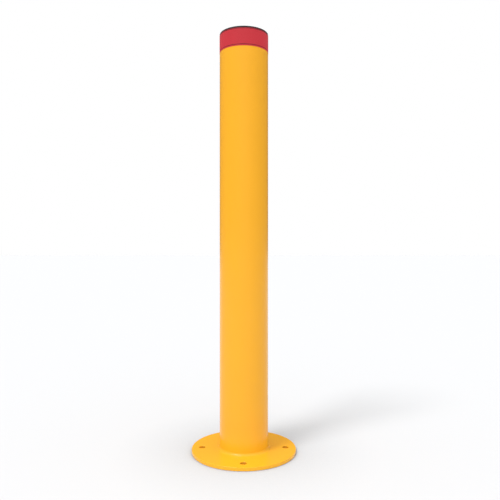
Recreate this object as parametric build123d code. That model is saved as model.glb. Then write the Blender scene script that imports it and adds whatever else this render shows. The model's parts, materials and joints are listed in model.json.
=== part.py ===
from build123d import *

import math
import os

# Surface-mounted steel safety bollard: a tube welded to a round, bolted base plate.
# Millimetres, +Z up. The origin is on the tube's axis at the underside of the base
# plate, which rests on the ground. The front is towards -Y.

# Overall
overall_height = 1200.0  # ground to the top of the cap

# Round hollow section of the post
tube_outer_diameter = 139.7
tube_wall = 5.0

# Base plate and its anchor holes
plate_diameter = 300.0
plate_thickness = 10.0
plate_edge_break = 1.5  # rounding of the plate's two outer edges
anchor_edge_distance = 30.0  # from the plate's edge to a hole's centre
anchor_hole_count = 4
anchor_hole_diameter = 18.0  # for M16 anchors
anchor_hole_edge_break = 0.8  # chamfer at the hole's upper edge

# Fillet weld all round the foot of the tube
weld_leg = 7.0
weld_hollow = 1.2  # how far the weld's face dips below a flat one

# Push-in plastic end cap
cap_flange_thickness = 4.5
cap_edge_radius = 0.8
cap_skirt_depth = 26.0
cap_skirt_wall = 3.0
cap_skirt_setback = 3.2  # from the tube's bore to the skirt's outside
cap_fin_count = 3
cap_fin_thickness = 1.4
cap_fin_clearance = 0.15  # from the tube's bore to the tip of a fin
cap_first_fin_drop = 5.0  # from the flange to the first fin's upper face
cap_last_fin_rise = 4.0  # from the skirt's lower end to the last fin's underside
cap_web_thickness = 2.5  # the cross of ribs under the flange
cap_web_depth = 12.0

# Reflective tape round the top of the tube
tape_width = 50.0
tape_thickness = 0.4
tape_lap_length = 16.0  # where the tape's end lies over its start, at the back

# Sizes that follow from the ones above
tube_radius = tube_outer_diameter / 2
bore_radius = tube_radius - tube_wall
tube_top = overall_height - cap_flange_thickness
anchor_circle_radius = plate_diameter / 2 - anchor_edge_distance
skirt_radius = bore_radius - cap_skirt_setback
skirt_bore_radius = skirt_radius - cap_skirt_wall
fin_radius = bore_radius - cap_fin_clearance
fin_stack = cap_skirt_depth - cap_first_fin_drop - cap_last_fin_rise - cap_fin_thickness
fin_pitch = fin_stack / (cap_fin_count - 1)


def ring(outer_radius, inner_radius, bottom, top):
    """An upright ring between two heights."""
    height = top - bottom
    outer = Cylinder(outer_radius, height, align=(Align.CENTER, Align.CENTER, Align.MIN))
    inner = Cylinder(inner_radius, height, align=(Align.CENTER, Align.CENTER, Align.MIN))
    return Pos(0, 0, bottom) * (outer - inner)


def make_base_plate():
    """Round plate with its anchor holes on the X and Y axes."""
    plate = Cylinder(
        plate_diameter / 2,
        plate_thickness,
        align=(Align.CENTER, Align.CENTER, Align.MIN),
    )
    rims = plate.edges().filter_by(GeomType.CIRCLE)
    plate = fillet(rims, plate_edge_break)

    hole = Cylinder(
        anchor_hole_diameter / 2,
        plate_thickness,
        align=(Align.CENTER, Align.CENTER, Align.MIN),
    )
    hole_mouth = Pos(0, 0, plate_thickness - anchor_hole_edge_break) * Cone(
        anchor_hole_diameter / 2,
        anchor_hole_diameter / 2 + anchor_hole_edge_break,
        anchor_hole_edge_break,
        align=(Align.CENTER, Align.CENTER, Align.MIN),
    )
    for place in PolarLocations(anchor_circle_radius, anchor_hole_count):
        plate -= place * (hole + hole_mouth)
    return plate


def make_post_tube():
    """Plain round tube, square cut at both ends, standing on the plate."""
    return ring(tube_radius, bore_radius, plate_thickness, tube_top)


def make_base_weld():
    """Fillet weld between the plate's top and the tube, with a slightly hollow face."""
    toe = (tube_radius + weld_leg, 0, plate_thickness)
    root = (tube_radius, 0, plate_thickness)
    head = (tube_radius, 0, plate_thickness + weld_leg)
    throat = weld_leg / 2 - weld_hollow / math.sqrt(2)
    middle = (tube_radius + throat, 0, plate_thickness + throat)
    outline = Line(toe, root) + Line(root, head) + ThreePointArc(head, middle, toe)
    return revolve(make_face(outline), Axis.Z)


def make_top_cap():
    """Cap with a flange as wide as the tube and a hollow finned skirt inside it."""
    flange = Pos(0, 0, tube_top) * Cylinder(
        tube_radius,
        cap_flange_thickness,
        align=(Align.CENTER, Align.CENTER, Align.MIN),
    )
    top_rim = flange.edges().filter_by(GeomType.CIRCLE).sort_by(Axis.Z)[-1]
    cap = fillet(top_rim, cap_edge_radius)

    cap += ring(skirt_radius, skirt_bore_radius, tube_top - cap_skirt_depth, tube_top)
    for number in range(cap_fin_count):
        fin_top = tube_top - cap_first_fin_drop - number * fin_pitch
        cap += ring(fin_radius, skirt_bore_radius, fin_top - cap_fin_thickness, fin_top)

    web_centre = tube_top - cap_web_depth / 2
    web_length = 2 * (skirt_bore_radius + cap_skirt_wall / 2)
    cap += Pos(0, 0, web_centre) * Box(web_length, cap_web_thickness, cap_web_depth)
    cap += Pos(0, 0, web_centre) * Box(cap_web_thickness, web_length, cap_web_depth)
    return cap


def make_reflective_band():
    """Tape wrapped once round the tube, its end lapped over its start at the back."""
    tape_bottom = tube_top - tape_width
    first_layer = tube_radius + tape_thickness
    second_layer = first_layer + tape_thickness
    wrap = ring(first_layer, tube_radius, tape_bottom, tube_top)

    half_lap = math.degrees(tape_lap_length / first_layer) / 2
    lap_profile = Pos(first_layer + tape_thickness / 2, 0, tape_bottom + tape_width / 2)
    lap_section = lap_profile * Rot(90, 0, 0) * Rectangle(second_layer - first_layer, tape_width)
    lap = revolve(lap_section, Axis.Z, 2 * half_lap)
    return wrap + Rot(0, 0, 90 - half_lap) * lap


def write_part(shape, node):
    """Write one piece to its own file, named after the piece."""
    shape.label = node
    export_step(shape, f"parts/{node}.step")


os.makedirs("parts", exist_ok=True)
write_part(make_base_plate(), "base_plate")
write_part(make_post_tube(), "post_tube")
write_part(make_base_weld(), "base_weld")
write_part(make_top_cap(), "top_cap")
write_part(make_reflective_band(), "reflective_band")
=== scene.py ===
import json
import math

import bmesh
import bpy
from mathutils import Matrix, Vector


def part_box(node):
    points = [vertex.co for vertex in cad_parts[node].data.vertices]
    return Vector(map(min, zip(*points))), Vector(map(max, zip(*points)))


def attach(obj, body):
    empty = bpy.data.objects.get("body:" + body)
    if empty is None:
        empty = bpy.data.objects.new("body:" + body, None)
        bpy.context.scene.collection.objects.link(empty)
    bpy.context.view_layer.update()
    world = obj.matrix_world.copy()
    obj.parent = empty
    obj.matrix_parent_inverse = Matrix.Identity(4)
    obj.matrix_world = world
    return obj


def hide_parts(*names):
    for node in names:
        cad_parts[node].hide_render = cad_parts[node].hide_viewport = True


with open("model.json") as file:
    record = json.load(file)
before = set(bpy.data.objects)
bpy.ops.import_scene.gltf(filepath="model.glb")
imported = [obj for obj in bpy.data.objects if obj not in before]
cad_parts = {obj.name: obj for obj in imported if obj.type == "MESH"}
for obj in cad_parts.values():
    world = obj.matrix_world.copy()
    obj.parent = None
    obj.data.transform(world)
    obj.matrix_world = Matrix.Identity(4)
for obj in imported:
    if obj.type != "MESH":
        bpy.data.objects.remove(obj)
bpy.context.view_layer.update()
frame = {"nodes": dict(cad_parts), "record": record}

mounts = {mount["name"]: mount for mount in frame["record"]["mounts"]}
anchorBolts = mounts["anchor_bolts"]["dims"]
mm = 0.001
print("frame loaded, nodes:", ", ".join(sorted(frame["nodes"])))


# small helpers for node trees, used by materials and by Geometry Nodes alike

def feed(tree, socket, value):
    if isinstance(value, bpy.types.NodeSocket):
        tree.links.new(value, socket)
    else:
        socket.default_value = value


def mathNode(tree, operation, *values):
    node = tree.nodes.new("ShaderNodeMath")
    node.operation = operation
    for socket, value in zip(node.inputs, values):
        feed(tree, socket, value)
    return node.outputs[0]


def vectorNode(tree, operation, *values):
    node = tree.nodes.new("ShaderNodeVectorMath")
    node.operation = operation
    for socket, value in zip(node.inputs, values):
        feed(tree, socket, value)
    scalar = operation in {"DOT_PRODUCT", "LENGTH", "DISTANCE"}
    return node.outputs["Value" if scalar else "Vector"]


def rangeNode(tree, value, fromLow, fromHigh, toLow, toHigh, smooth=False):
    node = tree.nodes.new("ShaderNodeMapRange")
    node.interpolation_type = "SMOOTHSTEP" if smooth else "LINEAR"
    for name, number in zip(
        ("Value", "From Min", "From Max", "To Min", "To Max"),
        (value, fromLow, fromHigh, toLow, toHigh),
    ):
        feed(tree, node.inputs[name], number)
    return node.outputs["Result"]


def noiseNode(tree, vector, scale, detail=2.0, roughness=0.5, dimensions="3D"):
    node = tree.nodes.new("ShaderNodeTexNoise")
    node.noise_dimensions = dimensions
    feed(tree, node.inputs["Vector"], vector)
    feed(tree, node.inputs["Scale"], scale)
    feed(tree, node.inputs["Detail"], detail)
    feed(tree, node.inputs["Roughness"], roughness)
    return node.outputs["Fac"]


def newTree(name, kind, inputs, outputs):
    # inputs are (name, socket type, value), outputs are (name, socket type)
    tree = bpy.data.node_groups.new(name, kind)
    for label, socketType, value in inputs:
        socket = tree.interface.new_socket(label, in_out="INPUT", socket_type=socketType)
        if value is not None:
            socket.default_value = value
    for label, socketType in outputs:
        tree.interface.new_socket(label, in_out="OUTPUT", socket_type=socketType)
    given = tree.nodes.new("NodeGroupInput").outputs
    result = tree.nodes.new("NodeGroupOutput").inputs
    return tree, given, result


def placeGroup(tree, group, **values):
    # a keyword such as cellSize feeds the input named Cell Size
    node = tree.nodes.new("ShaderNodeGroup")
    node.node_tree = group
    for key, value in values.items():
        label = "".join(" " + c if c.isupper() else c for c in key).title()
        feed(tree, node.inputs[label], value)
    return node.outputs


# shader groups, each built once

wallSlack = 0.3 * mm   # a point this far off a wall still counts as on it


def makePeelGroup():
    # the soft dimples of a sprayed or moulded skin
    tree, given, result = newTree(
        "peelRelief",
        "ShaderNodeTree",
        [
            ("Vector", "NodeSocketVector", None),
            ("Cell Size", "NodeSocketFloat", 0.003),
            ("Flow Size", "NodeSocketFloat", 0.02),
            ("Flow Share", "NodeSocketFloat", 0.4),
        ],
        [("Height", "NodeSocketFloat")],
    )
    cells = noiseNode(tree, given["Vector"], mathNode(tree, "DIVIDE", 1.0, given["Cell Size"]), 1.0)
    flow = noiseNode(tree, given["Vector"], mathNode(tree, "DIVIDE", 1.0, given["Flow Size"]), 1.0)
    dimples = rangeNode(tree, cells, 0.3, 0.7, 0.0, 1.0, smooth=True)
    slow = mathNode(tree, "MULTIPLY", flow, given["Flow Share"])
    feed(tree, result["Height"], mathNode(tree, "ADD", dimples, slow))
    return tree


def makeDriftGroup():
    # slow changes of shade and gloss over a surface
    tree, given, result = newTree(
        "finishDrift",
        "ShaderNodeTree",
        [
            ("Vector", "NodeSocketVector", None),
            ("Color", "NodeSocketColor", (0.5, 0.5, 0.5, 1)),
            ("Patch Size", "NodeSocketFloat", 0.12),
            ("Shade Spread", "NodeSocketFloat", 0.03),
            ("Roughness", "NodeSocketFloat", 0.4),
            ("Roughness Spread", "NodeSocketFloat", 0.05),
        ],
        [("Color", "NodeSocketColor"), ("Roughness", "NodeSocketFloat")],
    )
    scale = mathNode(tree, "DIVIDE", 1.0, given["Patch Size"])
    patches = noiseNode(tree, given["Vector"], scale, 3.0, 0.55)
    fine = noiseNode(tree, given["Vector"], mathNode(tree, "MULTIPLY", scale, 9.0), 2.0)
    low = mathNode(tree, "SUBTRACT", 1.0, given["Shade Spread"])
    high = mathNode(tree, "ADD", 1.0, given["Shade Spread"])
    shade = rangeNode(tree, patches, 0.3, 0.7, low, high)
    feed(tree, result["Color"], vectorNode(tree, "MULTIPLY", given["Color"], shade))
    mixed = mathNode(tree, "MULTIPLY_ADD", fine, 0.6, mathNode(tree, "MULTIPLY", patches, 0.4))
    smooth = mathNode(tree, "SUBTRACT", given["Roughness"], given["Roughness Spread"])
    rough = mathNode(tree, "ADD", given["Roughness"], given["Roughness Spread"])
    feed(tree, result["Roughness"], rangeNode(tree, mixed, 0.3, 0.7, smooth, rough))
    return tree


def makeHoneycombGroup():
    # hexagonal cells: 1 inside a cell, falling to 0 on the walls between them
    tree, given, result = newTree(
        "honeycombCells",
        "ShaderNodeTree",
        [
            ("Vector", "NodeSocketVector", None),
            ("Cell Size", "NodeSocketFloat", 0.004),
            ("Wall Share", "NodeSocketFloat", 0.1),
        ],
        [("Cell", "NodeSocketFloat")],
    )
    pitch = (1.0, math.sqrt(3), 1.0)
    half = (0.5, math.sqrt(3) / 2, 0.5)
    place = vectorNode(tree, "DIVIDE", given["Vector"], given["Cell Size"])
    place = vectorNode(tree, "MULTIPLY", place, (1.0, 1.0, 0.0))
    evenRows = vectorNode(tree, "SUBTRACT", vectorNode(tree, "MODULO", place, pitch), half)
    shifted = vectorNode(tree, "ADD", place, half)
    oddRows = vectorNode(tree, "SUBTRACT", vectorNode(tree, "MODULO", shifted, pitch), half)
    evenRows = vectorNode(tree, "MULTIPLY", evenRows, (1.0, 1.0, 0.0))
    oddRows = vectorNode(tree, "MULTIPLY", oddRows, (1.0, 1.0, 0.0))
    toEven = vectorNode(tree, "LENGTH", evenRows)
    toOdd = vectorNode(tree, "LENGTH", oddRows)
    nearest = tree.nodes.new("ShaderNodeMix")
    nearest.data_type = "VECTOR"
    feed(tree, nearest.inputs["Factor"], mathNode(tree, "LESS_THAN", toOdd, toEven))
    feed(tree, nearest.inputs[4], evenRows)
    feed(tree, nearest.inputs[5], oddRows)
    inCell = vectorNode(tree, "ABSOLUTE", nearest.outputs[1])
    across = vectorNode(tree, "DOT_PRODUCT", inCell, (1.0, 0.0, 0.0))
    slanted = vectorNode(tree, "DOT_PRODUCT", inCell, (0.5, math.sqrt(3) / 2, 0.0))
    toWall = mathNode(tree, "SUBTRACT", 0.5, mathNode(tree, "MAXIMUM", across, slanted))
    feed(tree, result["Cell"], rangeNode(tree, toWall, 0.0, given["Wall Share"], 0.0, 1.0, True))
    return tree


def makeHoleGroup():
    # 1 inside four holes on the axes, below a level surface, and 0 elsewhere
    tree, given, result = newTree(
        "drilledHoles",
        "ShaderNodeTree",
        [
            ("Vector", "NodeSocketVector", None),
            ("Circle Radius", "NodeSocketFloat", 0.1),
            ("Hole Radius", "NodeSocketFloat", 0.01),
            ("Surface", "NodeSocketFloat", 0.0),
        ],
        [("Mask", "NodeSocketFloat")],
    )
    split = tree.nodes.new("ShaderNodeSeparateXYZ")
    feed(tree, split.inputs["Vector"], vectorNode(tree, "ABSOLUTE", given["Vector"]))
    along = mathNode(tree, "MAXIMUM", split.outputs["X"], split.outputs["Y"])
    across = mathNode(tree, "MINIMUM", split.outputs["X"], split.outputs["Y"])
    offset = mathNode(tree, "SUBTRACT", along, given["Circle Radius"])
    alongSquare = mathNode(tree, "POWER", offset, 2.0)
    acrossSquare = mathNode(tree, "POWER", across, 2.0)
    reach = mathNode(tree, "SQRT", mathNode(tree, "ADD", alongSquare, acrossSquare))
    beyond = mathNode(tree, "SUBTRACT", reach, given["Hole Radius"])
    blend = 0.5 * mm     # the mask fades out over this beyond the wall
    lip = 1.5 * mm       # and comes in over this below the surface
    near = rangeNode(tree, beyond, wallSlack, wallSlack + blend, 1.0, 0.0, True)
    depth = mathNode(tree, "SUBTRACT", given["Surface"], split.outputs["Z"])
    deep = rangeNode(tree, depth, 0.0, lip, 0.0, 1.0, True)
    feed(tree, result["Mask"], mathNode(tree, "MULTIPLY", near, deep))
    return tree


def makePaintedFootLightGroup():
    # this mask carries painted light onto the post's foot, the plate and the weld
    # 1 on an upright round wall at a level, fading out with the height above it, and a
    # fixed share on everything else that lies round its foot
    tree, given, result = newTree(
        "wallFoot",
        "ShaderNodeTree",
        [
            ("Vector", "NodeSocketVector", None),
            ("Wall Radius", "NodeSocketFloat", 0.05),
            ("Level", "NodeSocketFloat", 0.0),
            ("Reach", "NodeSocketFloat", 0.1),
            ("Round Share", "NodeSocketFloat", 0.0),
        ],
        [("Mask", "NodeSocketFloat")],
    )
    flat = vectorNode(tree, "MULTIPLY", given["Vector"], (1.0, 1.0, 0.0))
    beyond = mathNode(tree, "SUBTRACT", vectorNode(tree, "LENGTH", flat), given["Wall Radius"])
    inWall = mathNode(tree, "LESS_THAN", beyond, wallSlack)
    split = tree.nodes.new("ShaderNodeSeparateXYZ")
    feed(tree, split.inputs["Vector"], given["Vector"])
    rise = mathNode(tree, "SUBTRACT", split.outputs["Z"], given["Level"])
    above = mathNode(tree, "GREATER_THAN", rise, -0.1 * mm)
    onWall = mathNode(tree, "MULTIPLY", inWall, above)
    fade = rangeNode(tree, rise, 0.0, given["Reach"], 1.0, 0.0, True)
    more = mathNode(tree, "SUBTRACT", fade, given["Round Share"])
    feed(tree, result["Mask"], mathNode(tree, "MULTIPLY_ADD", more, onWall, given["Round Share"]))
    return tree


peelRelief = makePeelGroup()
finishDrift = makeDriftGroup()
wallFoot = makePaintedFootLightGroup()
honeycombCells = makeHoneycombGroup()
drilledHoles = makeHoleGroup()
print("shader groups made")


# materials

def newMaterial(name, look):
    material = bpy.data.materials.new(name)
    material.use_nodes = True
    tree = material.node_tree
    shader = tree.nodes["Principled BSDF"]
    shader.inputs["Specular IOR Level"].default_value = look["specular"]
    shader.inputs["Metallic"].default_value = 0.0
    place = tree.nodes.new("ShaderNodeTexCoord").outputs["Object"]
    drift = placeGroup(
        tree,
        finishDrift,
        vector=place,
        color=look["color"],
        patchSize=look["patchSize"],
        shadeSpread=look["shadeSpread"],
        roughness=look["roughness"],
        roughnessSpread=look["roughnessSpread"],
    )
    feed(tree, shader.inputs["Base Color"], drift["Color"])
    feed(tree, shader.inputs["Roughness"], drift["Roughness"])
    return material, tree, shader, place, drift


def mixColor(tree, share, first, second):
    mix = tree.nodes.new("ShaderNodeMix")
    mix.data_type = "RGBA"
    feed(tree, mix.inputs["Factor"], share)
    feed(tree, mix.inputs[6], first)
    feed(tree, mix.inputs[7], second)
    return mix.outputs[2]


def addBump(tree, shader, height, distance):
    bump = tree.nodes.new("ShaderNodeBump")
    bump.inputs["Distance"].default_value = distance
    feed(tree, bump.inputs["Height"], height)
    feed(tree, shader.inputs["Normal"], bump.outputs["Normal"])


powderLook = {
    "color": (0.95, 0.44, 0.02, 1),   # safety yellow
    "footPaintedLightColor": (0.95, 0.505, 0.022, 1),   # painted light: the post's lowest stretch is painted lighter, standing in for light bounced up from the plate
    "footPaintedLightReach": 85 * mm,
    "roundShare": 0.35,   # how much of that painted light the plate and the weld take
    "roughness": 0.25,
    "roughnessSpread": 0.02,
    "specular": 0.35,
    "patchSize": 0.16,
    "shadeSpread": 0.01,
    "peelCell": 3.2 * mm,
    "peelFlow": 18 * mm,
    "peelFlowShare": 0.3,
    "peelDepth": 0.03 * mm,
    "holeShadeColor": (0.5, 0.19, 0.004, 1),   # painted shade inside the anchor holes
    "holeShadeShare": 0.55,
}


def makePowderCoat(look):
    material, tree, shader, place, drift = newMaterial("yellowPowderCoat", look)
    inside = placeGroup(
        tree,
        drilledHoles,
        vector=place,
        circleRadius=anchorBolts["pcd_mm"] / 2 * mm,
        holeRadius=anchorBolts["hole_r_mm"] * mm,
        surface=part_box("base_plate")[1].z,
    )
    # painted light: lighter round the post's foot, fading up the post, with a fixed share on the
    # plate and the weld
    foot = placeGroup(
        tree,
        wallFoot,
        vector=place,
        wallRadius=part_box("post_tube")[1].x,
        level=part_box("base_plate")[1].z,
        reach=look["footPaintedLightReach"],
        roundShare=look["roundShare"],
    )
    color = mixColor(tree, foot["Mask"], drift["Color"], look["footPaintedLightColor"])
    # painted shade: the walls of the anchor holes are painted darker
    holeShade = mathNode(tree, "MULTIPLY", inside["Mask"], look["holeShadeShare"])
    feed(tree, shader.inputs["Base Color"], mixColor(tree, holeShade, color, look["holeShadeColor"]))
    peel = placeGroup(
        tree,
        peelRelief,
        vector=place,
        cellSize=look["peelCell"],
        flowSize=look["peelFlow"],
        flowShare=look["peelFlowShare"],
    )
    addBump(tree, shader, peel["Height"], look["peelDepth"])
    return material


capLook = {
    "color": (0.02, 0.02, 0.022, 1),
    "roughness": 0.55,
    "roughnessSpread": 0.06,
    "specular": 0.25,
    "patchSize": 0.03,
    "shadeSpread": 0.06,
    "grainCell": 0.7 * mm,
    "grainFlow": 6 * mm,
    "grainFlowShare": 0.3,
    "grainDepth": 0.025 * mm,
}


def makeCapPlastic(look):
    material, tree, shader, place, drift = newMaterial("blackMouldedPlastic", look)
    grain = placeGroup(
        tree,
        peelRelief,
        vector=place,
        cellSize=look["grainCell"],
        flowSize=look["grainFlow"],
        flowShare=look["grainFlowShare"],
    )
    addBump(tree, shader, grain["Height"], look["grainDepth"])
    return material


tapeLook = {
    "color": (0.67, 0.039, 0.056, 1),
    "wallColor": (0.74, 0.06, 0.078, 1),   # the pale seams between the cells
    "edgeLineColor": (0.12, 0.014, 0.019, 1),   # a dark line near the tape's long edges and across its end
    "edgeLineRise": 4.2 * mm,    # from the tape's lower edge
    "edgeLineDrop": 1.8 * mm,    # from its upper edge and its end
    "edgeLineWidth": 1.5 * mm,
    "edgeLineSoftness": 0.3,     # the part of the width over which the line fades
    "roughness": 0.36,
    "roughnessSpread": 0.03,
    "specular": 0.25,
    "beadScatter": 1.0,      # the beads under the film throw light back evenly
    "patchSize": 0.05,
    "shadeSpread": 0.015,
    "cellSize": 3.6 * mm,
    "wallShare": 0.14,
    "cellDepth": 0.02 * mm,
    "lapLength": 16.0 * mm,
}


def makeTapeFilm(look):
    material, tree, shader, place, drift = newMaterial("redReflectiveFilm", look)
    shader.inputs["Diffuse Roughness"].default_value = look["beadScatter"]
    along = tree.nodes.new("ShaderNodeUVMap")
    along.uv_map = "alongTape"
    cells = placeGroup(
        tree,
        honeycombCells,
        vector=along.outputs["UV"],
        cellSize=look["cellSize"],
        wallShare=look["wallShare"],
    )
    color = mixColor(tree, cells["Cell"], look["wallColor"], drift["Color"])

    # a dark line runs along the tape's long edges and across its outer end
    low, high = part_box("reflective_band")
    split = tree.nodes.new("ShaderNodeSeparateXYZ")
    feed(tree, split.inputs["Vector"], place)
    ends = tree.nodes.new("ShaderNodeSeparateXYZ")
    feed(tree, ends.inputs["Vector"], along.outputs["UV"])
    length = 2 * math.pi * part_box("post_tube")[1].x + look["lapLength"]
    fromLine = 1.0
    for spot, line in (
        (split.outputs["Z"], low.z + look["edgeLineRise"]),
        (split.outputs["Z"], high.z - look["edgeLineDrop"]),
        (ends.outputs["X"], length - look["edgeLineDrop"]),
    ):
        apart = mathNode(tree, "ABSOLUTE", mathNode(tree, "SUBTRACT", spot, line))
        fromLine = mathNode(tree, "MINIMUM", apart, fromLine)
    dark = look["edgeLineWidth"] * (0.5 - look["edgeLineSoftness"] / 2)
    clear = look["edgeLineWidth"] * (0.5 + look["edgeLineSoftness"] / 2)
    edgeLine = rangeNode(tree, fromLine, dark, clear, 1.0, 0.0, True)
    feed(tree, shader.inputs["Base Color"], mixColor(tree, edgeLine, color, look["edgeLineColor"]))
    inside = mathNode(tree, "SUBTRACT", 1.0, edgeLine)
    addBump(tree, shader, mathNode(tree, "MULTIPLY", cells["Cell"], inside), look["cellDepth"])
    return material


powderCoat = makePowderCoat(powderLook)
capPlastic = makeCapPlastic(capLook)
tapeFilm = makeTapeFilm(tapeLook)
print("materials made")


# mesh helpers

def keepMesh(bm, name, sharpDegrees=32):
    mesh = bpy.data.meshes.new(name)
    bm.to_mesh(mesh)
    bm.free()
    mesh.shade_smooth()
    mesh.set_sharp_from_angle(angle=math.radians(sharpDegrees))
    piece = bpy.data.objects.new(name, mesh)
    bpy.context.scene.collection.objects.link(piece)
    return piece


def lathe(outline, segments):
    # outline is (radius, height) points anticlockwise; a point on the axis becomes a pole
    bm = bmesh.new()
    rows = []
    for radius, height in outline:
        if radius < 1e-7:
            rows.append([bm.verts.new((0, 0, height))])
            continue
        row = []
        for step in range(segments):
            angle = 2 * math.pi * step / segments
            row.append(bm.verts.new((radius * math.cos(angle), radius * math.sin(angle), height)))
        rows.append(row)
    closed = len(rows[0]) > 1 and len(rows[-1]) > 1
    pairs = list(zip(rows, rows[1:])) + ([(rows[-1], rows[0])] if closed else [])
    for lower, upper in pairs:
        for step in range(segments):
            after = (step + 1) % segments
            corners = [
                lower[step % len(lower)],
                lower[after % len(lower)],
                upper[after % len(upper)],
                upper[step % len(upper)],
            ]
            corners = list(dict.fromkeys(corners))
            if len(corners) > 2:
                bm.faces.new(corners)
    bmesh.ops.recalc_face_normals(bm, faces=bm.faces)
    return bm


def roundCorner(corner, radius, startDegrees, steps, hold):
    # a quarter round in an outline, with a holding point on each flat beside it
    radial, height = corner
    points = []
    start = math.radians(startDegrees)
    for step in range(steps + 1):
        angle = start + math.pi / 2 * step / steps
        points.append((radial + radius * math.cos(angle), height + radius * math.sin(angle)))
    before = (points[0][0] + hold * math.sin(start), points[0][1] - hold * math.cos(start))
    end = start + math.pi / 2
    after = (points[-1][0] - hold * math.sin(end), points[-1][1] + hold * math.cos(end))
    return [before] + points + [after]


def modifierInput(modifier, label, value):
    for item in modifier.node_group.interface.items_tree:
        if item.item_type == "SOCKET" and item.in_out == "INPUT" and item.name == label:
            modifier[item.identifier] = value
            return
    raise ValueError("the tree has no input named " + label)


def runTree(piece, tree, inputs, sharpDegrees=32):
    # runs the tree once and keeps its result as the piece's own plain mesh
    modifier = piece.modifiers.new(tree.name, "NODES")
    modifier.node_group = tree
    for label, value in inputs.items():
        modifierInput(modifier, label, value)
    bpy.context.view_layer.update()
    graph = bpy.context.evaluated_depsgraph_get()
    mesh = bpy.data.meshes.new_from_object(piece.evaluated_get(graph), depsgraph=graph)
    piece.modifiers.remove(modifier)
    piece.data = mesh
    mesh.name = piece.name
    mesh.shade_smooth()
    mesh.set_sharp_from_angle(angle=math.radians(sharpDegrees))
    return piece


def endTree(tree, geometry, material, result):
    realize = tree.nodes.new("GeometryNodeRealizeInstances")
    paint = tree.nodes.new("GeometryNodeSetMaterial")
    tree.links.new(geometry, realize.inputs["Geometry"])
    tree.links.new(realize.outputs["Geometry"], paint.inputs["Geometry"])
    tree.links.new(material, paint.inputs["Material"])
    tree.links.new(paint.outputs["Geometry"], result["Geometry"])


def addPiece(piece, node, material=None):
    if material is not None:
        piece.data.materials.clear()
        piece.data.materials.append(material)
    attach(piece, "root")
    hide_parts(node)
    print(piece.name, "made,", len(piece.data.polygons), "faces")


# base plate

plateLow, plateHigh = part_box("base_plate")
plate = {
    "radius": plateHigh.x,
    "bottom": plateLow.z,
    "top": plateHigh.z,
    "edgeRadius": 1.5 * mm,
    "edgeSteps": 6,
    "hold": 0.5 * mm,
    "segments": 256,
    "holeCircle": anchorBolts["pcd_mm"] / 2 * mm,
    "holeCount": anchorBolts["count"],
    "holeRadius": anchorBolts["hole_r_mm"] * mm,
    "holeChamfer": 0.8 * mm,
    "holeSegments": 64,
}


def makeHoleTree():
    tree, given, result = newTree(
        "anchorHoles",
        "GeometryNodeTree",
        [
            ("Geometry", "NodeSocketGeometry", None),
            ("Circle Radius", "NodeSocketFloat", 0.12),
            ("Hole Count", "NodeSocketInt", 4),
            ("Hole Radius", "NodeSocketFloat", 0.009),
            ("Chamfer", "NodeSocketFloat", 0.001),
            ("Plate Bottom", "NodeSocketFloat", 0.0),
            ("Plate Top", "NodeSocketFloat", 0.01),
            ("Segments", "NodeSocketInt", 64),
            ("Material", "NodeSocketMaterial", None),
        ],
        [("Geometry", "NodeSocketGeometry")],
    )
    circle = tree.nodes.new("GeometryNodeMeshCircle")
    feed(tree, circle.inputs["Vertices"], given["Hole Count"])
    feed(tree, circle.inputs["Radius"], given["Circle Radius"])

    # a drill through the whole plate, and a countersink at its upper edge
    clear = mathNode(tree, "MULTIPLY", given["Chamfer"], 3.0)
    drill = tree.nodes.new("GeometryNodeMeshCone")
    drill.fill_type = "NGON"
    feed(tree, drill.inputs["Vertices"], given["Segments"])
    feed(tree, drill.inputs["Radius Top"], given["Hole Radius"])
    feed(tree, drill.inputs["Radius Bottom"], given["Hole Radius"])
    thickness = mathNode(tree, "SUBTRACT", given["Plate Top"], given["Plate Bottom"])
    depth = mathNode(tree, "MULTIPLY_ADD", clear, 2.0, thickness)
    feed(tree, drill.inputs["Depth"], depth)
    drillFoot = mathNode(tree, "SUBTRACT", given["Plate Bottom"], clear)

    sink = tree.nodes.new("GeometryNodeMeshCone")
    sink.fill_type = "NGON"
    feed(tree, sink.inputs["Vertices"], given["Segments"])
    deep = mathNode(tree, "MULTIPLY", given["Chamfer"], 2.0)
    narrow = mathNode(tree, "SUBTRACT", given["Hole Radius"], given["Chamfer"])
    wide = mathNode(tree, "ADD", given["Hole Radius"], deep)
    feed(tree, sink.inputs["Radius Bottom"], narrow)
    feed(tree, sink.inputs["Radius Top"], wide)
    feed(tree, sink.inputs["Depth"], mathNode(tree, "ADD", deep, given["Chamfer"]))
    sinkFoot = mathNode(tree, "SUBTRACT", given["Plate Top"], deep)

    geometry = given["Geometry"]
    for tool, foot in ((drill, drillFoot), (sink, sinkFoot)):
        lift = tree.nodes.new("ShaderNodeCombineXYZ")
        feed(tree, lift.inputs["Z"], foot)
        raised = tree.nodes.new("GeometryNodeTransform")
        feed(tree, raised.inputs["Geometry"], tool.outputs["Mesh"])
        feed(tree, raised.inputs["Translation"], lift.outputs["Vector"])
        spread = tree.nodes.new("GeometryNodeInstanceOnPoints")
        feed(tree, spread.inputs["Points"], circle.outputs["Mesh"])
        feed(tree, spread.inputs["Instance"], raised.outputs["Geometry"])
        real = tree.nodes.new("GeometryNodeRealizeInstances")
        feed(tree, real.inputs["Geometry"], spread.outputs["Instances"])
        cut = tree.nodes.new("GeometryNodeMeshBoolean")
        cut.operation = "DIFFERENCE"
        cut.solver = "EXACT"
        feed(tree, cut.inputs["Mesh 1"], geometry)
        feed(tree, cut.inputs["Mesh 2"], real.outputs["Geometry"])
        geometry = cut.outputs["Mesh"]
    endTree(tree, geometry, given["Material"], result)
    return tree


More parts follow.
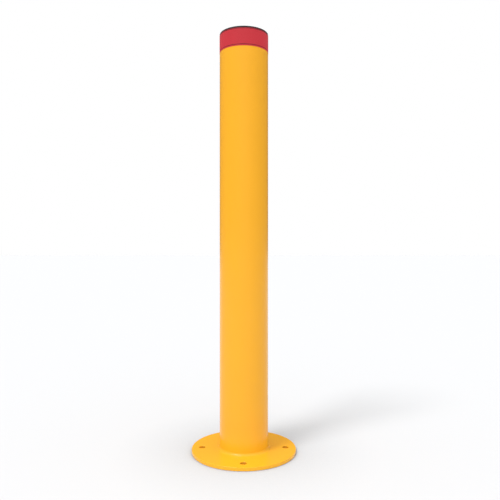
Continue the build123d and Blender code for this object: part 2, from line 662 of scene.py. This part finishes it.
def makeBasePlate():
    inset = plate["radius"] - plate["edgeRadius"]
    lowCorner = (inset, plate["bottom"] + plate["edgeRadius"])
    highCorner = (inset, plate["top"] - plate["edgeRadius"])
    outline = [(0, plate["bottom"])]
    outline += roundCorner(lowCorner, plate["edgeRadius"], -90, plate["edgeSteps"], plate["hold"])
    outline += roundCorner(highCorner, plate["edgeRadius"], 0, plate["edgeSteps"], plate["hold"])
    outline += [(0, plate["top"])]
    piece = keepMesh(lathe(outline, plate["segments"]), "basePlate")
    runTree(
        piece,
        makeHoleTree(),
        {
            "Circle Radius": plate["holeCircle"],
            "Hole Count": plate["holeCount"],
            "Hole Radius": plate["holeRadius"],
            "Chamfer": plate["holeChamfer"],
            "Plate Bottom": plate["bottom"],
            "Plate Top": plate["top"],
            "Segments": plate["holeSegments"],
            "Material": powderCoat,
        },
    )
    addPiece(piece, "base_plate")


makeBasePlate()


# post tube

tubeLow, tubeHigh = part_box("post_tube")
tube = {
    "radius": tubeHigh.x,
    "wall": 5.0 * mm,
    "bottom": tubeLow.z,
    "top": tubeHigh.z,
    "edgeRadius": 0.4 * mm,
    "edgeSteps": 3,
    "hold": 0.4 * mm,
    "segments": 256,
    "courses": 24,   # rows of faces up the wall
}


def makePostTube():
    outer = tube["radius"] - tube["edgeRadius"]
    inner = tube["radius"] - tube["wall"]
    span = tube["top"] - tube["bottom"] - 2 * tube["edgeRadius"] - 2 * tube["hold"]
    start = tube["bottom"] + tube["edgeRadius"] + tube["hold"]
    lowCorner = (outer, tube["bottom"] + tube["edgeRadius"])
    highCorner = (outer, tube["top"] - tube["edgeRadius"])
    outline = [(inner, tube["bottom"])]
    outline += roundCorner(lowCorner, tube["edgeRadius"], -90, tube["edgeSteps"], tube["hold"])
    for course in range(1, tube["courses"]):
        outline.append((tube["radius"], start + span * course / tube["courses"]))
    outline += roundCorner(highCorner, tube["edgeRadius"], 0, tube["edgeSteps"], tube["hold"])
    outline.append((inner, tube["top"]))
    piece = keepMesh(lathe(outline, tube["segments"]), "postTube")
    addPiece(piece, "post_tube", powderCoat)


makePostTube()


# weld round the foot of the tube

weldLow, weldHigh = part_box("base_weld")
weld = {
    "footRadius": tube["radius"],
    "plateTop": weldLow.z,
    "leg": weldHigh.z - weldLow.z,
    "hollow": 0.6,           # 0 for a flat face, 1 for a quarter round
    "ripplePitch": 5.0 * mm,
    "rippleHeight": 0.18 * mm,
    "rippleBow": 0.8,        # how far each ripple bends back at the toes, in ripples
    "wander": 0.35,          # unevenness of the ripples' spacing, in ripples
    "stepsPerRipple": 12,
    "rows": 16,
    "seed": 4.0,
}


def makeWeldTree():
    tree, given, result = newTree(
        "weldBead",
        "GeometryNodeTree",
        [
            ("Foot Radius", "NodeSocketFloat", 0.07),
            ("Plate Top", "NodeSocketFloat", 0.01),
            ("Leg", "NodeSocketFloat", 0.007),
            ("Hollow", "NodeSocketFloat", 0.5),
            ("Ripple Count", "NodeSocketInt", 90),
            ("Ripple Height", "NodeSocketFloat", 0.0002),
            ("Ripple Bow", "NodeSocketFloat", 0.8),
            ("Wander", "NodeSocketFloat", 0.3),
            ("Steps", "NodeSocketInt", 1080),
            ("Rows", "NodeSocketInt", 16),
            ("Seed", "NodeSocketFloat", 0.0),
            ("Material", "NodeSocketMaterial", None),
        ],
        [("Geometry", "NodeSocketGeometry")],
    )
    # a flat sheet, one column for each step round the tube, which is then bent to the bead
    sheet = tree.nodes.new("GeometryNodeMeshGrid")
    feed(tree, sheet.inputs["Size X"], 1.0)
    feed(tree, sheet.inputs["Size Y"], 1.0)
    feed(tree, sheet.inputs["Vertices X"], mathNode(tree, "ADD", given["Steps"], 1.0))
    feed(tree, sheet.inputs["Vertices Y"], given["Rows"])
    split = tree.nodes.new("ShaderNodeSeparateXYZ")
    feed(tree, split.inputs["Vector"], tree.nodes.new("GeometryNodeInputPosition").outputs[0])
    turn = mathNode(tree, "MULTIPLY", mathNode(tree, "ADD", split.outputs["X"], 0.5), 2 * math.pi)
    across = mathNode(tree, "ADD", split.outputs["Y"], 0.5)

    # the first and last rows lie at the root, the rows between fan from toe to toe
    gaps = mathNode(tree, "SUBTRACT", given["Rows"], 1.0)
    step = mathNode(tree, "DIVIDE", 1.0, gaps)
    share = rangeNode(tree, across, step, mathNode(tree, "SUBTRACT", 1.0, step), 0.0, 1.0)
    fan = mathNode(tree, "MULTIPLY", share, math.pi / 2)
    halfStep = mathNode(tree, "MULTIPLY", step, 0.5)
    afterRoot = mathNode(tree, "GREATER_THAN", across, halfStep)
    beforeRoot = mathNode(tree, "LESS_THAN", across, mathNode(tree, "SUBTRACT", 1.0, halfStep))
    onFace = mathNode(tree, "MULTIPLY", afterRoot, beforeRoot)

    # places round the ring that join up after a full turn, for the unevenness
    ringPlace = tree.nodes.new("ShaderNodeCombineXYZ")
    feed(tree, ringPlace.inputs["X"], mathNode(tree, "COSINE", turn))
    feed(tree, ringPlace.inputs["Y"], mathNode(tree, "SINE", turn))
    feed(tree, ringPlace.inputs["Z"], given["Seed"])
    slow = noiseNode(tree, ringPlace.outputs["Vector"], 4.0, 2.0)      # shifts the ripples
    quick = noiseNode(tree, ringPlace.outputs["Vector"], 14.0, 2.0)    # makes some higher
    slip = mathNode(tree, "MULTIPLY", mathNode(tree, "SUBTRACT", slow, 0.5), 6.0)
    slip = mathNode(tree, "MULTIPLY", slip, given["Wander"])

    # each ripple is a crescent: it runs ahead in the middle and lags at the toes
    middle = mathNode(tree, "SINE", mathNode(tree, "MULTIPLY", fan, 2.0))
    bow = mathNode(tree, "MULTIPLY", middle, given["Ripple Bow"])
    count = mathNode(tree, "MULTIPLY", given["Ripple Count"], 0.5)
    phase = mathNode(tree, "MULTIPLY", turn, count)
    bend = mathNode(tree, "MULTIPLY", mathNode(tree, "ADD", bow, slip), math.pi)
    wave = mathNode(tree, "ABSOLUTE", mathNode(tree, "SINE", mathNode(tree, "ADD", phase, bend)))
    window = mathNode(tree, "MULTIPLY_ADD", middle, 0.75, 0.25)
    swell = mathNode(tree, "MULTIPLY_ADD", quick, 0.8, 0.6)
    ripple = mathNode(tree, "MULTIPLY", mathNode(tree, "MULTIPLY", wave, swell), window)
    ripple = mathNode(tree, "MULTIPLY", ripple, given["Ripple Height"])

    # distance from the root to the face
    spread = mathNode(tree, "ADD", mathNode(tree, "SINE", fan), mathNode(tree, "COSINE", fan))
    flat = mathNode(tree, "DIVIDE", given["Leg"], spread)
    chord = mathNode(tree, "SQRT", mathNode(tree, "MAXIMUM", middle, 0.0))
    scooped = mathNode(tree, "MULTIPLY", mathNode(tree, "SUBTRACT", spread, chord), given["Leg"])
    sag = mathNode(tree, "MULTIPLY", mathNode(tree, "SUBTRACT", scooped, flat), given["Hollow"])
    face = mathNode(tree, "ADD", flat, sag)
    reach = mathNode(tree, "MULTIPLY", mathNode(tree, "ADD", face, ripple), onFace)
    out = mathNode(tree, "COSINE", fan)
    up = mathNode(tree, "SINE", fan)
    radius = mathNode(tree, "MULTIPLY_ADD", out, reach, given["Foot Radius"])
    height = mathNode(tree, "MULTIPLY_ADD", up, reach, given["Plate Top"])
    place = tree.nodes.new("ShaderNodeCombineXYZ")
    for axis, part in (("X", "COSINE"), ("Y", "SINE")):
        share = mathNode(tree, part, turn)
        feed(tree, place.inputs[axis], mathNode(tree, "MULTIPLY", radius, share))
    feed(tree, place.inputs["Z"], height)

    bent = tree.nodes.new("GeometryNodeSetPosition")
    feed(tree, bent.inputs["Geometry"], sheet.outputs["Mesh"])
    feed(tree, bent.inputs["Position"], place.outputs["Vector"])
    joined = tree.nodes.new("GeometryNodeMergeByDistance")
    feed(tree, joined.inputs["Geometry"], bent.outputs["Geometry"])
    feed(tree, joined.inputs["Distance"], 0.001 * mm)
    endTree(tree, joined.outputs["Geometry"], given["Material"], result)
    return tree


def makeBaseWeld():
    count = round(2 * math.pi * (weld["footRadius"] + weld["leg"] / 2) / weld["ripplePitch"])
    piece = keepMesh(bmesh.new(), "baseWeld")
    runTree(
        piece,
        makeWeldTree(),
        {
            "Foot Radius": weld["footRadius"],
            "Plate Top": weld["plateTop"],
            "Leg": weld["leg"],
            "Hollow": weld["hollow"],
            "Ripple Count": count,
            "Ripple Height": weld["rippleHeight"],
            "Ripple Bow": weld["rippleBow"],
            "Wander": weld["wander"],
            "Steps": count * weld["stepsPerRipple"],
            "Rows": weld["rows"],
            "Seed": weld["seed"],
            "Material": powderCoat,
        },
        sharpDegrees=60,
    )
    addPiece(piece, "base_weld")


makeBaseWeld()


# end cap

capLow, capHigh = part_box("top_cap")
cap = {
    "radius": capHigh.x,
    "top": capHigh.z,
    "seat": tube["top"],     # the flange's underside, on the end of the tube
    "bottom": capLow.z,
    "edgeRadius": 0.8 * mm,
    "edgeSteps": 6,
    "hold": 0.4 * mm,
    "boreRadius": tube["radius"] - tube["wall"],
    "skirtSetback": 3.2 * mm,
    "skirtWall": 3.0 * mm,
    "finCount": 3,
    "finThickness": 1.4 * mm,
    "finClearance": 0.15 * mm,
    "firstFinDrop": 5.0 * mm,
    "lastFinRise": 4.0 * mm,
    "webThickness": 2.5 * mm,
    "webDepth": 12.0 * mm,
    "gateRadius": 4.0 * mm,   # the shallow dimple left where the plastic went in
    "gateDepth": 0.35 * mm,
    "gateSteps": 8,
    "segments": 256,
}


def makeCapTree():
    tree, given, result = newTree(
        "capRibs",
        "GeometryNodeTree",
        [
            ("Geometry", "NodeSocketGeometry", None),
            ("Fin", "NodeSocketObject", None),
            ("Web", "NodeSocketObject", None),
            ("Fin Count", "NodeSocketInt", 3),
            ("First Fin", "NodeSocketFloat", 1.0),
            ("Fin Pitch", "NodeSocketFloat", 0.007),
            ("Web Count", "NodeSocketInt", 2),
            ("Material", "NodeSocketMaterial", None),
        ],
        [("Geometry", "NodeSocketGeometry")],
    )
    fins = tree.nodes.new("GeometryNodeMeshLine")
    feed(tree, fins.inputs["Count"], given["Fin Count"])
    lift = tree.nodes.new("ShaderNodeCombineXYZ")
    feed(tree, lift.inputs["Z"], given["First Fin"])
    drop = tree.nodes.new("ShaderNodeCombineXYZ")
    feed(tree, drop.inputs["Z"], mathNode(tree, "MULTIPLY", given["Fin Pitch"], -1.0))
    feed(tree, fins.inputs["Start Location"], lift.outputs["Vector"])
    feed(tree, fins.inputs["Offset"], drop.outputs["Vector"])

    # the webs all stand on the axis, turned by equal shares of a half turn
    webs = tree.nodes.new("GeometryNodeMeshLine")
    feed(tree, webs.inputs["Count"], given["Web Count"])
    feed(tree, webs.inputs["Offset"], (0.0, 0.0, 0.0))
    index = tree.nodes.new("GeometryNodeInputIndex").outputs[0]
    turn = tree.nodes.new("ShaderNodeCombineXYZ")
    share = mathNode(tree, "DIVIDE", math.pi, given["Web Count"])
    feed(tree, turn.inputs["Z"], mathNode(tree, "MULTIPLY", index, share))

    geometry = given["Geometry"]
    for points, shape, rotation in ((fins, "Fin", None), (webs, "Web", turn)):
        source = tree.nodes.new("GeometryNodeObjectInfo")
        feed(tree, source.inputs["Object"], given[shape])
        spread = tree.nodes.new("GeometryNodeInstanceOnPoints")
        feed(tree, spread.inputs["Points"], points.outputs["Mesh"])
        feed(tree, spread.inputs["Instance"], source.outputs["Geometry"])
        if rotation is not None:
            feed(tree, spread.inputs["Rotation"], rotation.outputs["Vector"])
        join = tree.nodes.new("GeometryNodeMeshBoolean")
        join.operation = "UNION"
        join.solver = "EXACT"
        # a union takes all its meshes through the one input
        meshes = join.inputs["Mesh 2"]
        tree.links.new(geometry, meshes)
        tree.links.new(spread.outputs["Instances"], meshes)
        geometry = join.outputs["Mesh"]
    endTree(tree, geometry, given["Material"], result)
    return tree


def makeTopCap():
    skirt = cap["boreRadius"] - cap["skirtSetback"]
    skirtBore = skirt - cap["skirtWall"]
    rim = cap["radius"] - cap["edgeRadius"]
    outline = [(0, cap["seat"]), (skirtBore, cap["seat"]), (skirtBore, cap["bottom"])]
    outline += [(skirt, cap["bottom"]), (skirt, cap["seat"])]
    outline += [(cap["radius"] - cap["hold"], cap["seat"]), (cap["radius"], cap["seat"])]
    corner = (rim, cap["top"] - cap["edgeRadius"])
    outline += roundCorner(corner, cap["edgeRadius"], 0, cap["edgeSteps"], cap["hold"])
    for step in range(cap["gateSteps"] + 1):
        share = 1 - step / cap["gateSteps"]
        sunk = cap["gateDepth"] * (1 + math.cos(math.pi * share)) / 2
        outline.append((cap["gateRadius"] * share, cap["top"] - sunk))
    piece = keepMesh(lathe(outline, cap["segments"]), "topCap")

    finRim = cap["boreRadius"] - cap["finClearance"]
    halfFin = cap["finThickness"] / 2
    finRoot = skirt - cap["skirtWall"] / 2
    finOutline = [(finRoot, -halfFin), (finRim - halfFin / 2, -halfFin), (finRim, -halfFin / 2)]
    finOutline += [(finRim, halfFin / 2), (finRim - halfFin / 2, halfFin), (finRoot, halfFin)]
    fin = keepMesh(lathe(finOutline, cap["segments"]), "capFin")

    slab = bmesh.new()
    bmesh.ops.create_cube(slab, size=1.0)
    length = 2 * (skirtBore + cap["skirtWall"] / 2)
    bite = cap["hold"] * 2     # the web reaches this far into the flange
    size = (length, cap["webThickness"], cap["webDepth"] + bite)
    bmesh.ops.scale(slab, vec=size, verts=slab.verts)
    middle = cap["seat"] + (bite - cap["webDepth"]) / 2
    bmesh.ops.translate(slab, vec=(0, 0, middle), verts=slab.verts)
    web = keepMesh(slab, "capWeb")

    stack = cap["seat"] - cap["bottom"] - cap["firstFinDrop"]
    stack = stack - cap["lastFinRise"] - cap["finThickness"]
    runTree(
        piece,
        makeCapTree(),
        {
            "Fin": fin,
            "Web": web,
            "Fin Count": cap["finCount"],
            "First Fin": cap["seat"] - cap["firstFinDrop"] - halfFin,
            "Fin Pitch": stack / (cap["finCount"] - 1),
            "Web Count": 2,
            "Material": capPlastic,
        },
    )
    bpy.data.objects.remove(fin)
    bpy.data.objects.remove(web)
    addPiece(piece, "top_cap")


makeTopCap()


# reflective tape

tapeLow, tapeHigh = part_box("reflective_band")
tape = {
    "tubeRadius": tube["radius"],
    "bottom": tapeLow.z,
    "top": tapeHigh.z,
    "thickness": 0.4 * mm,
    "edgeRadius": 0.1 * mm,
    "lapLength": tapeLook["lapLength"],
    "lapRise": 2.5 * mm,      # the stretch over which the end climbs onto the start
    "steps": 360,
}


def makeReflectiveBand():
    # one strip, wound once round the tube and a little further, its end over its start
    bm = bmesh.new()
    layer = bm.loops.layers.uv.new("alongTape")
    radius = tape["tubeRadius"]
    lap = tape["lapLength"] / radius
    rise = tape["lapRise"] / radius
    start = math.pi / 2 - lap / 2
    whole = 2 * math.pi + lap
    edge = tape["edgeRadius"]
    thick = tape["thickness"]
    section = [
        (0, tape["bottom"]),
        (thick - edge, tape["bottom"]),
        (thick, tape["bottom"] + edge),
        (thick, tape["top"] - edge),
        (thick - edge, tape["top"]),
        (0, tape["top"]),
    ]
    turns = [whole * step / tape["steps"] for step in range(tape["steps"] + 1)]
    rings, places = [], []
    for turn in turns:
        climb = min(1, max(0, (turn - (2 * math.pi - rise)) / rise))
        inner = radius + thick * climb * climb * (3 - 2 * climb)
        angle = start + turn
        ring = []
        for out, height in section:
            at = inner + out
            ring.append(bm.verts.new((at * math.cos(angle), at * math.sin(angle), height)))
        rings.append(ring)
        places.append(turn * radius)
    count = len(section)
    for step in range(tape["steps"]):
        for k in range(count):
            after = (k + 1) % count
            here, beyond = rings[step], rings[step + 1]
            face = bm.faces.new((here[k], beyond[k], beyond[after], here[after]))
            for loop, column in zip(face.loops, (step, step + 1, step + 1, step)):
                loop[layer].uv = (places[column], loop.vert.co.z)
    for ring, place in ((rings[0], places[0]), (rings[-1], places[-1])):
        face = bm.faces.new(ring)
        for loop in face.loops:
            loop[layer].uv = (place, loop.vert.co.z)
    bmesh.ops.recalc_face_normals(bm, faces=bm.faces)
    piece = keepMesh(bm, "reflectiveBand")
    addPiece(piece, "reflective_band", tapeFilm)


makeReflectiveBand()
print("pieces made")


# floor, light and camera

studio = {
    "floorHalf": 60.0,
    "floorColor": (0.708, 0.713, 0.723, 1),
    "floorRoughness": 0.9,
    "paintedShadowColor": (0.08, 0.17, 0.25, 1),   # painted shadow: the floor is painted darker and cooler where the object closes the sky off
    "paintedShadowReach": 0.33,
    "skyLow": 0.25,          # sky brightness at the horizon and overhead
    "skyHigh": 1.86,
    "skyFront": 0.3,         # gain in front, loss behind and loss at the sides
    "skyBack": 0.7,
    "skySide": 0.38,
    "skyGloss": 0.5,         # the even sky that reflections see
    "sunFrom": (-0.40, -0.385, 0.83),
    "sunStrength": 1.15,
    "sunSoftness": 16,       # degrees
}


def makeFloor():
    bm = bmesh.new()
    bmesh.ops.create_grid(bm, x_segments=2, y_segments=2, size=studio["floorHalf"])
    mesh = bpy.data.meshes.new("studioFloor")
    bm.to_mesh(mesh)
    bm.free()
    floor = bpy.data.objects.new("studioFloor", mesh)
    bpy.context.scene.collection.objects.link(floor)
    material = bpy.data.materials.new("paleFloor")
    material.use_nodes = True
    tree = material.node_tree
    shader = tree.nodes["Principled BSDF"]
    # painted shadow, seen by the camera only: the floor colour darkens where ambient occlusion
    # finds the object
    shade = tree.nodes.new("ShaderNodeAmbientOcclusion")
    shade.samples = 8
    shade.inputs["Distance"].default_value = studio["paintedShadowReach"]
    seen = tree.nodes.new("ShaderNodeLightPath").outputs["Is Camera Ray"]
    closed = mathNode(tree, "SUBTRACT", 1.0, shade.outputs["AO"])
    share = mathNode(tree, "MULTIPLY", closed, seen)
    color = mixColor(tree, share, studio["floorColor"], studio["paintedShadowColor"])
    feed(tree, shader.inputs["Base Color"], color)
    shader.inputs["Roughness"].default_value = studio["floorRoughness"]
    shader.inputs["Specular IOR Level"].default_value = 0.0
    mesh.materials.append(material)


def makeSky():
    # plain white behind the object, and a softer sky that lights it
    world = bpy.data.worlds.new("studioSky")
    bpy.context.scene.world = world
    world.use_nodes = True
    tree = world.node_tree
    tree.nodes.clear()
    split = tree.nodes.new("ShaderNodeSeparateXYZ")
    feed(tree, split.inputs["Vector"], tree.nodes.new("ShaderNodeTexCoord").outputs["Generated"])
    level = rangeNode(tree, split.outputs["Z"], 0.0, 1.0, studio["skyLow"], studio["skyHigh"], True)
    glossy = tree.nodes.new("ShaderNodeLightPath").outputs["Is Glossy Ray"]
    change = mathNode(tree, "SUBTRACT", studio["skyGloss"], level)
    level = mathNode(tree, "MULTIPLY_ADD", change, glossy, level)
    front = rangeNode(tree, split.outputs["Y"], -1.0, 0.0, 1.0 + studio["skyFront"], 1.0)
    back = rangeNode(tree, split.outputs["Y"], 0.0, 1.0, 1.0, 1.0 - studio["skyBack"])
    aside = mathNode(tree, "ABSOLUTE", split.outputs["X"])
    side = rangeNode(tree, aside, 0.0, 1.0, 1.0, 1.0 - studio["skySide"])
    for share in (front, back, side):
        level = mathNode(tree, "MULTIPLY", level, share)
    soft = tree.nodes.new("ShaderNodeBackground")
    feed(tree, soft.inputs["Strength"], level)
    soft.inputs["Color"].default_value = (1, 1, 1, 1)
    white = tree.nodes.new("ShaderNodeBackground")
    white.inputs["Color"].default_value = (1, 1, 1, 1)
    mix = tree.nodes.new("ShaderNodeMixShader")
    feed(tree, mix.inputs["Fac"], tree.nodes.new("ShaderNodeLightPath").outputs["Is Camera Ray"])
    tree.links.new(soft.outputs["Background"], mix.inputs[1])
    tree.links.new(white.outputs["Background"], mix.inputs[2])
    out = tree.nodes.new("ShaderNodeOutputWorld")
    tree.links.new(mix.outputs["Shader"], out.inputs["Surface"])


def makeSun():
    light = bpy.data.lights.new("softKey", "SUN")
    light.energy = studio["sunStrength"]
    light.angle = math.radians(studio["sunSoftness"])
    lamp = bpy.data.objects.new("softKey", light)
    bpy.context.scene.collection.objects.link(lamp)
    lamp.rotation_mode = "QUATERNION"
    lamp.rotation_quaternion = Vector(studio["sunFrom"]).to_track_quat("Z", "Y")


camera = {
    "lens": 39.29,
    "distance": 1.578,
    "eyeHeight": 0.5797,
    "sideStep": 0.0176,      # to the right of the post
}


def makeCamera():
    data = bpy.data.cameras.new("studioCamera")
    data.sensor_width = 36
    data.lens = camera["lens"]
    data.clip_start = 0.01
    data.clip_end = 200
    seat = bpy.data.objects.new("studioCamera", data)
    bpy.context.scene.collection.objects.link(seat)
    seat.location = (camera["sideStep"], -camera["distance"], camera["eyeHeight"])
    seat.rotation_euler = (math.pi / 2, 0, 0)     # level, looking along +Y
    bpy.context.scene.camera = seat


makeFloor()
makeSky()
makeSun()
makeCamera()
bpy.context.scene.view_settings.view_transform = "Standard"
print("studio made")
